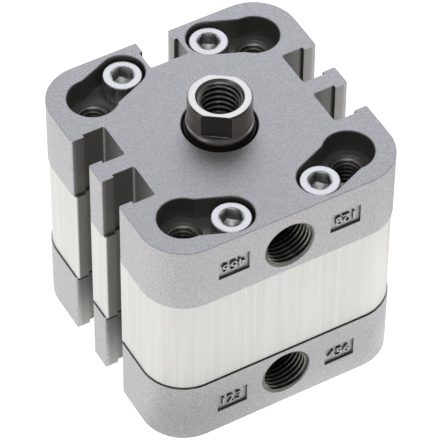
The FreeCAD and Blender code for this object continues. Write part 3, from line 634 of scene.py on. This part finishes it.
def depth_group():
    """Depths in millimetres below the outer faces of an upright rounded square block.
    Below its sides that is corner radius minus the rounded square's distance.
    The others are the depths below its end face and below its port face."""
    inputs = {"Half Side": 24.0, "Corner Radius": 8.0, "End Height": 0.0, "End Direction": 1.0}
    tree, given, result = new_group("depth_below_faces", inputs, ["Side Depth", "End Depth", "Port Depth"])
    x, y, height = coordinates(tree, millimetre_place(tree))
    flat = maths(tree, "SUBTRACT", given["Half Side"], given["Corner Radius"])
    past = [maths(tree, "SUBTRACT", maths(tree, "ABSOLUTE", value), flat) for value in (x, y)]
    outside = [maths(tree, "POWER", maths(tree, "MAXIMUM", value, 0.0), 2.0) for value in past]
    corner = maths(tree, "SQRT", maths(tree, "ADD", *outside))
    inside = maths(tree, "MINIMUM", maths(tree, "MAXIMUM", *past), 0.0)
    side = maths(tree, "SUBTRACT", given["Corner Radius"], maths(tree, "ADD", corner, inside))
    below = maths(tree, "SUBTRACT", given["End Height"], height)
    tree.links.new(side, result["Side Depth"])
    tree.links.new(product(tree, below, given["End Direction"]), result["End Depth"])
    tree.links.new(maths(tree, "ADD", given["Half Side"], y), result["Port Depth"])
    return tree


GROUP_MAKERS = {"grain": grain_group, "strokes": stroke_group, "depth_below_faces": depth_group}


def placed_group(tree, name, **values):
    """A shared node group placed in a material with its own values."""
    group = bpy.data.node_groups.get(name) or GROUP_MAKERS[name]()
    made = node(tree, "ShaderNodeGroup", node_tree=group)
    for label, value in values.items():
        made.inputs[label.replace("_", " ").title()].default_value = value
    return made.outputs


def new_material(name, **shader_values):
    """A material with its Principled shader, whose constant values are set on its own sockets."""
    material = bpy.data.materials.new(name)
    material.use_nodes = True
    tree = material.node_tree
    shader = next(item for item in tree.nodes if item.type == "BSDF_PRINCIPLED")
    for label, value in shader_values.items():
        shader.inputs[label.replace("_", " ").title()].default_value = value
    return material, tree, shader


def paint(tree, shader, base):
    """Link a colour to a shader."""
    tree.links.new(base, shader.inputs["Base Color"])


def roughen(tree, shader, mask, low, high):
    """Carry a shader's roughness from one value to another by a mask."""
    tree.links.new(ramp(tree, mask, 0.0, 1.0, low, high), shader.inputs["Roughness"])


def bump(tree, shader, height, strength, millimetres, edge=0.0):
    """Small relief from a height value, over edges that look rounded to a radius."""
    inputs = {"Strength": strength, "Distance": millimetres * MM, "Height": height}
    made = node(tree, "ShaderNodeBump", inputs)
    if edge:
        rounded = node(tree, "ShaderNodeBevel", {"Radius": edge * MM}, samples=6)
        tree.links.new(rounded.outputs["Normal"], made.inputs["Normal"])
    tree.links.new(made.outputs["Normal"], shader.inputs["Normal"])


def tinted(tree, base, mottle, low, high):
    """A colour made lighter and darker by a mask."""
    share = ramp(tree, mottle, 0.0, 1.0, low, high)
    grey = node(tree, "ShaderNodeCombineColor", dict.fromkeys(range(3), share))
    return blend(tree, 1.0, base, grey.outputs[0], "MULTIPLY")


def rounded_square(name):
    """Half side and corner radius of a node in millimetres. Its corners are round about the corner holes."""
    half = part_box(name)[1].x / MM
    pitch = MOUNTS["front_mounting_threads"]["dims"]["spacing_x_mm"]
    return {"half_side": half, "corner_radius": half - pitch / 2}


def cap_material(name, finishes, end_height, end_direction, seam_width):
    """Tumbled casting: pale mottled outer faces, painted shade on every wall that lies below them,
    deeper painted shade on the recesses' walls, and a painted shadow along the slots' inner ends where caps
    and barrel meet."""
    material, tree, shader = new_material(name, metallic=0.9)
    grain = placed_group(tree, "grain", size=0.3, fine_share=0.4)
    end_face = {"end_height": end_height / MM, "end_direction": end_direction}
    depth = placed_group(tree, "depth_below_faces", **rounded_square("front_cap"), **end_face)
    side = depth["Side Depth"]
    end = depth["End Depth"]
    # Painted shade on every wall below the outer faces, lighter just below them and darker the deeper it
    # lies
    under = ramp(tree, end, *CAP_END_EDGE)
    below = product(tree, under, ramp(tree, side, *CAP_SIDE_EDGE))
    casting = blend(tree, ramp(tree, side, *CAP_SKIN_EDGE), finishes.cap_lip_shade, finishes.cap_pocket_shade)
    # Deeper painted shade on the recesses' walls and on the raised numbers' sides
    recess = window(tree, depth["Port Depth"], RECESS_OUTER, RECESS_INNER)
    wall = product(tree, under, recess, ramp(tree, side, *RECESS_SIDE))
    outer = tinted(tree, finishes.cap, grain["Mottle"], 0.79, 1.19)
    skin = blend(tree, below, outer, casting)
    walled = blend(tree, wall, skin, finishes.recess_shade)
    height = (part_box("front_cap")[1].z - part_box("barrel")[1].z) / MM
    # Painted shadow along the slots' inner ends, where the cap meets the barrel
    last = ramp(tree, end, height - seam_width - SEAM_FADE, height - seam_width)
    seam_shadow = product(tree, last, ramp(tree, side, *CAP_SEAM_EDGE))
    paint(tree, shader, blend(tree, seam_shadow, walled, finishes.seam))
    roughen(tree, shader, grain["Mottle"], 0.46, 0.54)
    bump(tree, shader, grain["Height"], 0.25, 0.03)
    return material


def barrel_material(finishes):
    """Satin anodised aluminium brushed along the axis, with painted shade inside the slots and a painted
    shadow on their end ledges.
    """
    material, tree, shader = new_material("brushed_barrel", metallic=0.9)
    strokes = placed_group(tree, "strokes", scale=(6.5, 6.5, 0.05))
    bands = placed_group(tree, "strokes", scale=(0.9, 0.9, 0.02))["Strokes"]
    side = placed_group(tree, "depth_below_faces", **rounded_square("barrel"))["Side Depth"]
    warm = blend(tree, strokes["Cloud"], (1.0, 0.99, 0.975, 1), (0.99, 0.995, 0.99, 1))
    brushed = tinted(tree, finishes.barrel, strokes["Strokes"], 0.93, 1.05)
    outer = blend(tree, 1.0, tinted(tree, brushed, bands, 0.972, 1.024), warm, "MULTIPLY")
    # Painted shade inside the slots, darker the deeper the wall lies
    slot = blend(tree, ramp(tree, side, *SLOT_FLOOR_EDGE), finishes.barrel_lip_shade, finishes.barrel_slot_shade)
    inside = ramp(tree, side, *SLOT_EDGE)
    whole = blend(tree, inside, outer, slot)
    low, high = (corner.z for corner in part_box("barrel"))
    height = coordinates(tree, object_place(tree))[2]
    apart = maths(tree, "ABSOLUTE", maths(tree, "SUBTRACT", height, (low + high) / 2))
    # Painted shadow on the barrel's end ledges inside the slots, under the caps
    end = ramp(tree, apart, *[(high - low) / 2 - edge for edge in metres(LEDGE_EDGE)])
    seam_shadow = product(tree, end, inside, LEDGE_SHADOW_SHARE)
    paint(tree, shader, blend(tree, seam_shadow, whole, finishes.seam))
    roughen(tree, shader, strokes["Strokes"], 0.46, 0.56)
    bump(tree, shader, strokes["Strokes"], 0.12, 0.02)
    return material


def zinc_material(finishes):
    """Bright zinc plating, with painted shade down in the hexagon sockets."""
    material, tree, shader = new_material("zinc_plating", metallic=0.9)
    grain = placed_group(tree, "grain", size=0.9, fine_share=0.35)
    # Painted shade on the socket walls and countersinks, by the socket attribute
    socket = node(tree, "ShaderNodeAttribute", attribute_name="socket").outputs["Fac"]
    outer = tinted(tree, finishes.zinc, grain["Mottle"], 0.94, 1.04)
    paint(tree, shader, blend(tree, ramp(tree, socket, 0.02, 0.35), outer, finishes.zinc_socket_shade))
    plating = ramp(tree, grain["Mottle"], 0.0, 1.0, 0.24, 0.34)
    floor = ramp(tree, socket, -0.9, -0.5, 0.17, 0.0)
    walls = ramp(tree, socket, 0.2, 0.6, 0.0, 0.12)
    rough = maths(tree, "SUBTRACT", maths(tree, "ADD", plating, floor), walls)
    tree.links.new(rough, shader.inputs["Roughness"])
    bump(tree, shader, grain["Height"], 0.1, 0.02)
    return material


def thread_material(name, root, crest):
    """Cut thread: painted highlight along the crests and painted shade in the roots."""
    material, tree, shader = new_material(name, metallic=0.8)
    grain = placed_group(tree, "grain", size=0.3, fine_share=0.5)
    # The crest attribute carries the painted highlight on the crests and the painted shade in the roots
    height = node(tree, "ShaderNodeAttribute", attribute_name="crest").outputs["Fac"]
    metal = blend(tree, ramp(tree, height, 0.55, 1.0), root, crest)
    paint(tree, shader, tinted(tree, metal, grain["Mottle"], 0.9, 1.05))
    roughen(tree, shader, grain["Mottle"], 0.30, 0.45)
    return material


def rod_material(finishes):
    """Ground steel with fine rings round the axis, a pale end partly painted light, painted shade along the
    end's rounded rim, and wrench flats darkened by a painted reflection of dark surroundings.
    """
    material, tree, shader = new_material("ground_rod", metallic=1.0)
    x, y, height = coordinates(tree, object_place(tree))
    squares = [maths(tree, "POWER", value, 2.0) for value in (x, y)]
    radius = maths(tree, "SQRT", maths(tree, "ADD", *squares))
    ring_place = node(tree, "ShaderNodeCombineXYZ", {0: radius, 1: height}).outputs[0]
    rings = noise(tree, ring_place, RING_SCALE, 2.0)
    normal = node(tree, "ShaderNodeTexCoord").outputs["Normal"]
    level = maths(tree, "ABSOLUTE", coordinates(tree, normal)[2])
    # Painted reflection of dark surroundings on the wrench flats
    flat = product(
        tree,
        ramp(tree, radius, *metres(FLAT_EDGE)),
        maths(tree, "LESS_THAN", level, FLAT_LEVEL),
        maths(tree, "GREATER_THAN", radius, FLAT_LEAST * MM),
    )
    # Faces turned up or down take the paler steel: the turned end's own finish, and painted light on every
    # such face, like the ledges at the flats' feet
    ended = maths(tree, "GREATER_THAN", level, END_LEVEL)
    # Painted shade along the rounded outer rim of the rod's end face
    rim = product(tree, ramp(tree, radius, *metres(RIM_EDGE)), ended, RIM_SHADE_SHARE)
    steel = blend(tree, ramp(tree, level, *END_EDGE), finishes.rod, finishes.rod_end_and_highlight)
    body = tinted(tree, steel, ramp(tree, rings, *NOISE_RANGE), 0.9, 1.06)
    dark = maths(tree, "MAXIMUM", flat, rim)
    paint(tree, shader, blend(tree, dark, body, finishes.rod_flat_shade))
    tree.links.new(ramp(tree, rings, *NOISE_RANGE, 0.22, 0.34), shader.inputs["Roughness"])
    bump(tree, shader, rings, 0.08, 0.01, edge=0.12)
    return material


def plain_material(name, base, rough_low, rough_high, size, **shader_values):
    """A mottled finish for seals and inner pieces."""
    material, tree, shader = new_material(name, **shader_values)
    grain = placed_group(tree, "grain", size=size, fine_share=0.5)
    paint(tree, shader, tinted(tree, base, grain["Mottle"], 0.88, 1.1))
    roughen(tree, shader, grain["Mottle"], rough_low, rough_high)
    bump(tree, shader, grain["Height"], 0.15, 0.02)
    return material


def dress(material, *names):
    """Give CAD nodes a material in place of their packed one."""
    for name in names:
        frame["nodes"][name].material_slots[0].material = material


# Operators, one for each piece or group of like pieces


class CYLINDER_OT_caps(bpy.types.Operator):
    """Give both caps their tumbled casting finish"""

    bl_idname = "cylinder.caps"
    bl_label = "Caps"

    def execute(self, context):
        finishes = context.scene.cylinder_finishes
        dress(cap_material("front_casting", finishes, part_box("front_cap")[1].z, 1.0, 0.0), "front_cap")
        dress(cap_material("rear_casting", finishes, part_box("rear_cap")[0].z, -1.0, 1.0), "rear_cap")
        return {"FINISHED"}


class CYLINDER_OT_barrel(bpy.types.Operator):
    """Give the barrel its brushed finish"""

    bl_idname = "cylinder.barrel"
    bl_label = "Barrel"

    def execute(self, context):
        dress(barrel_material(context.scene.cylinder_finishes), "barrel")
        return {"FINISHED"}


class CYLINDER_OT_screws(bpy.types.Operator):
    """Build the cap screws with knurled heads, hexagon sockets and threads"""

    bl_idname = "cylinder.screws"
    bl_label = "Cap screws"

    def execute(self, context):
        sizes = context.scene.cylinder_sizes
        material = zinc_material(context.scene.cylinder_finishes)
        turns = [math.radians(degrees) for degrees in SCREW_TURNS]
        for side, direction in (("front", 1), ("rear", -1)):
            node_name = f"{side}_cap_screws"
            low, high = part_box(node_name)
            reach = high.z - low.z
            top = high.z if direction > 0 else low.z
            half_across = high.x - sizes.head_radius
            half_along = high.y - sizes.head_radius
            shells, sockets = [], []
            for (across, along), turn in zip(CORNERS, turns):
                (points, faces), socket = socket_screw(sizes, reach, turn)
                centre = np.array([across * half_across, along * half_along, top])
                placed = points * np.array([1, direction, direction]) + centre
                shells.append((placed, faces))
                sockets.append(socket)
            piece = make_piece(f"{side}_screws", *joined(shells), material, sharp_degrees=20)
            keep_values(piece, "socket", np.concatenate(sockets))
            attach(piece, "housing")
            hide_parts(node_name)
        return {"FINISHED"}


class CYLINDER_OT_threads(bpy.types.Operator):
    """Cut the threads of the air ports, the mounting holes and the rod's end"""

    bl_idname = "cylinder.threads"
    bl_label = "Threads"

    def execute(self, context):
        sizes = context.scene.cylinder_sizes
        finishes = context.scene.cylinder_finishes
        cut = thread_material("cut_thread", finishes.cut_root_shade, finishes.cut_crest_highlight)
        # The rod's thread takes the pale end steel as painted highlight on its crests and painted shade in
        # its roots
        steel = thread_material("cut_rod_thread", finishes.rod_root_shade, finishes.rod_end_and_highlight)
        for side, start in PORT_STARTS.items():
            hole = threaded_hole(
                MOUNTS[f"{side}_port"],
                depth=sizes.port_thread_depth,
                pitch=sizes.port_pitch,
                entry=3.0,
                start=start,
                # pale and lead set how deep and how far onto the cone the crests' painted highlight reaches
                pale=0.9,
                lead=0.71,
            )
            self.add(f"{side}_port_thread", [hole], cut, "housing", "cap_casting")
            pattern = MOUNTS[f"{side}_mounting_threads"]
            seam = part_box("barrel")[1 if side == "front" else 0].z
            mouth = np.array(pattern["pos_m"])
            half = [pattern["dims"][key] * MM / 2 for key in ("spacing_x_mm", "spacing_y_mm")]
            holes = [
                dict(
                    mouth=mouth + np.array([across * half[0], along * half[1], 0]),
                    axis=pattern["axis"],
                    radius=pattern["dims"]["hole_r_mm"] * MM,
                    depth=sizes.mount_thread_depth,
                    pitch=sizes.mount_pitch,
                    reach=abs(mouth[2] - seam),
                    entry=1.3,
                    # pale and lead set how deep and how far onto the cone the crests' painted highlight
                    # reaches
                    pale=0.25,
                    lead=0.9,
                )
                for across, along in CORNERS
            ]
            self.add(f"{side}_mount_threads", holes, cut, "housing", "cap_casting")
        hole = threaded_hole(
            MOUNTS["rod_thread"],
            depth=sizes.rod_thread_depth,
            pitch=sizes.rod_pitch,
            entry=math.tan(math.radians(52.5)),
            start=0.49,
            whole=0.35,
            # lead sets how much painted highlight the crests keep on the entry cone
            lead=0.78,
        )
        self.add("rod_end_thread", [hole], steel, "piston_and_rod", "rod_steel")
        return {"FINISHED"}

    def add(self, name, holes, material, body, slot):
        """Build one thread piece and set it on its body."""
        piece = thread_piece(name, holes, material)
        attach(piece, body)


class CYLINDER_OT_marks(bpy.types.Operator):
    """Set plain raised numbers in the recesses beside the ports, turned over on the front cap"""

    bl_idname = "cylinder.marks"
    bl_label = "Raised numbers"

    def execute(self, context):
        sizes = context.scene.cylinder_sizes
        for side, upright in (("rear", 1), ("front", -1)):
            # The numbers take their cap's material, so its painted shade also darkens their sides
            material = frame["nodes"][f"{side}_cap"].material_slots[0].material
            port = np.array(MOUNTS[f"{side}_port"]["pos_m"])
            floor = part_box(f"{side}_cap")[0].y + sizes.recess_depth
            shells = []
            for text, hand in ((sizes.left_mark, -1), (sizes.right_mark, 1)):
                points, faces = raised_number(text, sizes)
                across = port[0] + upright * (points[:, 0] + hand * sizes.mark_offset)
                height = port[2] + upright * (points[:, 1] - sizes.mark_rise)
                shells.append((np.stack([across, floor - points[:, 2], height], axis=-1), faces))
            piece = make_piece(f"{side}_numbers", *joined(shells), material)
            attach(piece, "housing")
        return {"FINISHED"}


class CYLINDER_OT_rod(bpy.types.Operator):
    """Give the rod and its seal their finishes"""

    bl_idname = "cylinder.rod"
    bl_label = "Rod and seal"

    def execute(self, context):
        finishes = context.scene.cylinder_finishes
        dress(rod_material(finishes), "piston_rod")
        rubber = plain_material("black_rubber", finishes.rubber, 0.45, 0.6, 0.4)
        dress(rubber, "rod_seal", "piston_o_ring", "piston_seal_front", "piston_seal_rear")
        for side in ("front", "rear"):
            dress(rubber, f"{side}_barrel_o_ring", f"{side}_bumper")
        return {"FINISHED"}


class CYLINDER_OT_inner_pieces(bpy.types.Operator):
    """Give the piston and the bush their finishes"""

    bl_idname = "cylinder.inner_pieces"
    bl_label = "Piston and bush"

    def execute(self, context):
        finishes = context.scene.cylinder_finishes
        dress(plain_material("sintered_bronze", finishes.bronze, 0.4, 0.55, 0.2, metallic=0.9), "rod_bush")
        dress(
            plain_material("turned_piston", finishes.piston, 0.25, 0.4, 0.5, metallic=1.0),
            "piston_front_half",
            "piston_rear_half",
        )
        dress(plain_material("bonded_magnet", finishes.magnet, 0.5, 0.65, 0.25), "piston_magnet")
        dress(plain_material("acetal_guide", finishes.guide, 0.35, 0.5, 0.6), "guide_ring")
        dress(
            plain_material("zinc_fixing", finishes.zinc, 0.25, 0.35, 0.8, metallic=0.9),
            "piston_screw",
            "piston_washer",
        )
        return {"FINISHED"}


class CYLINDER_OT_stage(bpy.types.Operator):
    """Set the white floor, the soft light and the camera"""

    bl_idname = "cylinder.stage"
    bl_label = "Stage"

    def execute(self, context):
        stage = context.scene.cylinder_stage
        self.floor(stage)
        self.sky(context.scene, stage)
        self.soft_box("back_box", (0.30, 0.52, 0.62), 0.75, stage.back_light, tint=(0.95, 0.945, 1.05))
        self.soft_box("over_box", (-0.11, -0.19, 0.87), 0.45, stage.over_light)
        self.soft_box("left_box", (-0.75, -0.1, 0.45), 0.5, stage.side_light)
        self.camera(context.scene, stage)
        context.scene.view_settings.view_transform = "Standard"
        return {"FINISHED"}

    def floor(self, stage):
        """A wide white disc under the part. The glow that the part reflects has its own gain in each band
        round the part, and the camera sees the floor evenly white."""
        around = np.linspace(0, TURN, FLOOR_ANGLES, endpoint=False)
        heights = np.full(FLOOR_ANGLES, -FLOOR_DROP)
        rim = np.stack([FLOOR_RADIUS * np.cos(around), FLOOR_RADIUS * np.sin(around), heights], axis=-1)
        points = np.concatenate([rim, rim.mean(0)[None]])
        material, tree, shader = new_material(
            "white_floor", base_color=(0.35, 0.35, 0.35, 1), roughness=0.9, emission_strength=1.0
        )
        place = object_place(tree)
        x, y, _ = coordinates(tree, place)
        left = ramp(tree, towards(tree, place, (-0.5, 0.87, 0)), *metres(FLOOR_LEFT))
        strip = window(tree, y, *map(metres, FLOOR_STRIP))
        right = product(tree, ramp(tree, x, *metres(FLOOR_RIGHT)), strip)
        patch = window(tree, x, *map(metres, FLOOR_PATCH))
        near = product(tree, patch, ramp(tree, y, *metres(FLOOR_NEAR)))
        aside = product(tree, ramp(tree, x, *metres(FLOOR_ASIDE_X)), ramp(tree, y, *metres(FLOOR_ASIDE_Y)))
        depth = placed_group(tree, "depth_below_faces", **rounded_square("rear_cap"))["Side Depth"]
        close = product(
            tree,
            ramp(tree, x, *metres(FLOOR_CLOSE), stage.floor_corner, stage.floor_close),
            ramp(tree, depth, *FLOOR_FOOT, *FLOOR_FOOT_GAINS),
        )
        before = between(tree, ramp(tree, depth, *FLOOR_BAND), stage.floor_band, close)
        before = between(tree, ramp(tree, depth, *FLOOR_FAR), before, stage.floor_far)
        beside = between(tree, near, 1.0, stage.floor_beside)
        dimmed = product(
            tree,
            between(tree, left, before, stage.floor_left),
            between(tree, right, beside, stage.floor_right),
            between(tree, aside, 1.0, stage.floor_aside),
            ramp(tree, depth, *FLOOR_UNDER, 1.0, stage.floor_under),
        )
        seen = node(tree, "ShaderNodeLightPath").outputs["Is Camera Ray"]
        shown = maths(tree, "MAXIMUM", dimmed, product(tree, seen, FLOOR_SEEN))
        glow = {k: product(tree, shown, stage.floor_glow * share) for k, share in enumerate(FLOOR_TINT)}
        shade = node(tree, "ShaderNodeCombineColor", glow)
        tree.links.new(shade.outputs[0], shader.inputs["Emission Color"])
        make_piece("floor", points, fan_of_ring(0, FLOOR_ANGLES, FLOOR_ANGLES), material)

    def sky(self, scene, stage):
        """Soft light from behind the part, brightest low over the backdrop and dim in front."""
        world = bpy.data.worlds.new("studio")
        world.use_nodes = True
        tree = world.node_tree
        background = next(item for item in tree.nodes if item.type == "BACKGROUND")
        direction = node(tree, "ShaderNodeTexCoord").outputs["Generated"]
        behind = towards(tree, direction, (0.45, 0.78, 0.43))
        above = ramp(tree, behind, -0.2, 0.8, stage.sky_front, stage.sky)
        apart = towards(tree, direction, (0.5, 0.866, 0))
        level = coordinates(tree, direction)[2]
        low = ramp(tree, level, 0.5, 0.2)
        backdrop = product(tree, low, ramp(tree, apart, -0.1, 0.4, 0.0, stage.horizon))
        tree.links.new(maths(tree, "MAXIMUM", above, backdrop), background.inputs["Strength"])
        background.inputs["Color"].default_value = (0.97, 0.97, 1, 1)
        scene.world = world

    def soft_box(self, name, place, side, power, tint=(1, 1, 1)):
        """A square area light that faces the part."""
        light = bpy.data.lights.new(name, "AREA")
        light.size = side
        light.energy = power
        light.color = tint
        box = bpy.data.objects.new(name, light)
        facing = Vector(place).to_track_quat("Z", "Y").to_matrix().to_4x4()
        box.matrix_world = Matrix.Translation(place) @ facing
        bpy.context.scene.collection.objects.link(box)

    def camera(self, scene, stage):
        """Long lens from the photograph's side."""
        flat = math.cos(stage.elevation)
        sine = math.sin(stage.azimuth)
        cosine = math.cos(stage.azimuth)
        back = Vector((sine * flat, -cosine * flat, math.sin(stage.elevation)))
        right = Vector((cosine, sine, 0))
        upright = Matrix((right, back.cross(right), back)).transposed()
        turned = upright @ Matrix.Rotation(-stage.roll, 3, "Z")
        middle = Vector((0, 0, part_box("front_cap")[1].z / 2))
        shift = Vector((stage.across, stage.upward, -stage.distance))
        data = bpy.data.cameras.new("camera")
        data.lens = stage.lens
        data.sensor_width = 36.0
        data.clip_start = 0.01
        data.clip_end = 10.0
        camera = bpy.data.objects.new("camera", data)
        camera.matrix_world = Matrix.Translation(middle - turned @ shift) @ turned.to_4x4()
        scene.collection.objects.link(camera)
        scene.camera = camera


class CYLINDER_PT_looks(bpy.types.Panel):
    """Lists the steps that dress the cylinder"""

    bl_label = "Compact cylinder"
    bl_idname = "CYLINDER_PT_looks"
    bl_space_type = "VIEW_3D"
    bl_region_type = "UI"
    bl_category = "Cylinder"

    def draw(self, context):
        for step in STEPS:
            self.layout.operator(step.bl_idname)
        for group_name in GROUPS:
            group = getattr(context.scene, group_name)
            for name in group.__annotations__:
                self.layout.prop(group, name)


GROUPS = {
    "cylinder_sizes": CylinderSizes,
    "cylinder_finishes": CylinderFinishes,
    "cylinder_stage": CylinderStage,
}
STEPS = [
    CYLINDER_OT_caps,
    CYLINDER_OT_barrel,
    CYLINDER_OT_screws,
    CYLINDER_OT_threads,
    CYLINDER_OT_marks,
    CYLINDER_OT_rod,
    CYLINDER_OT_inner_pieces,
    CYLINDER_OT_stage,
]


def register():
    """Register the classes and hang the settings on the scene."""
    for item in [*GROUPS.values(), *STEPS, CYLINDER_PT_looks]:
        bpy.utils.register_class(item)
    for name, group in GROUPS.items():
        setattr(bpy.types.Scene, name, PointerProperty(type=group))


def unregister():
    """Take the settings and the classes away again."""
    for name in GROUPS:
        delattr(bpy.types.Scene, name)
    for item in [CYLINDER_PT_looks, *reversed(STEPS), *GROUPS.values()]:
        bpy.utils.unregister_class(item)


def main():
    """Dress the part step by step."""
    register()
    for step in STEPS:
        family, name = step.bl_idname.split(".")
        getattr(getattr(bpy.ops, family), name)()


if __name__ == "__main__":
    main()
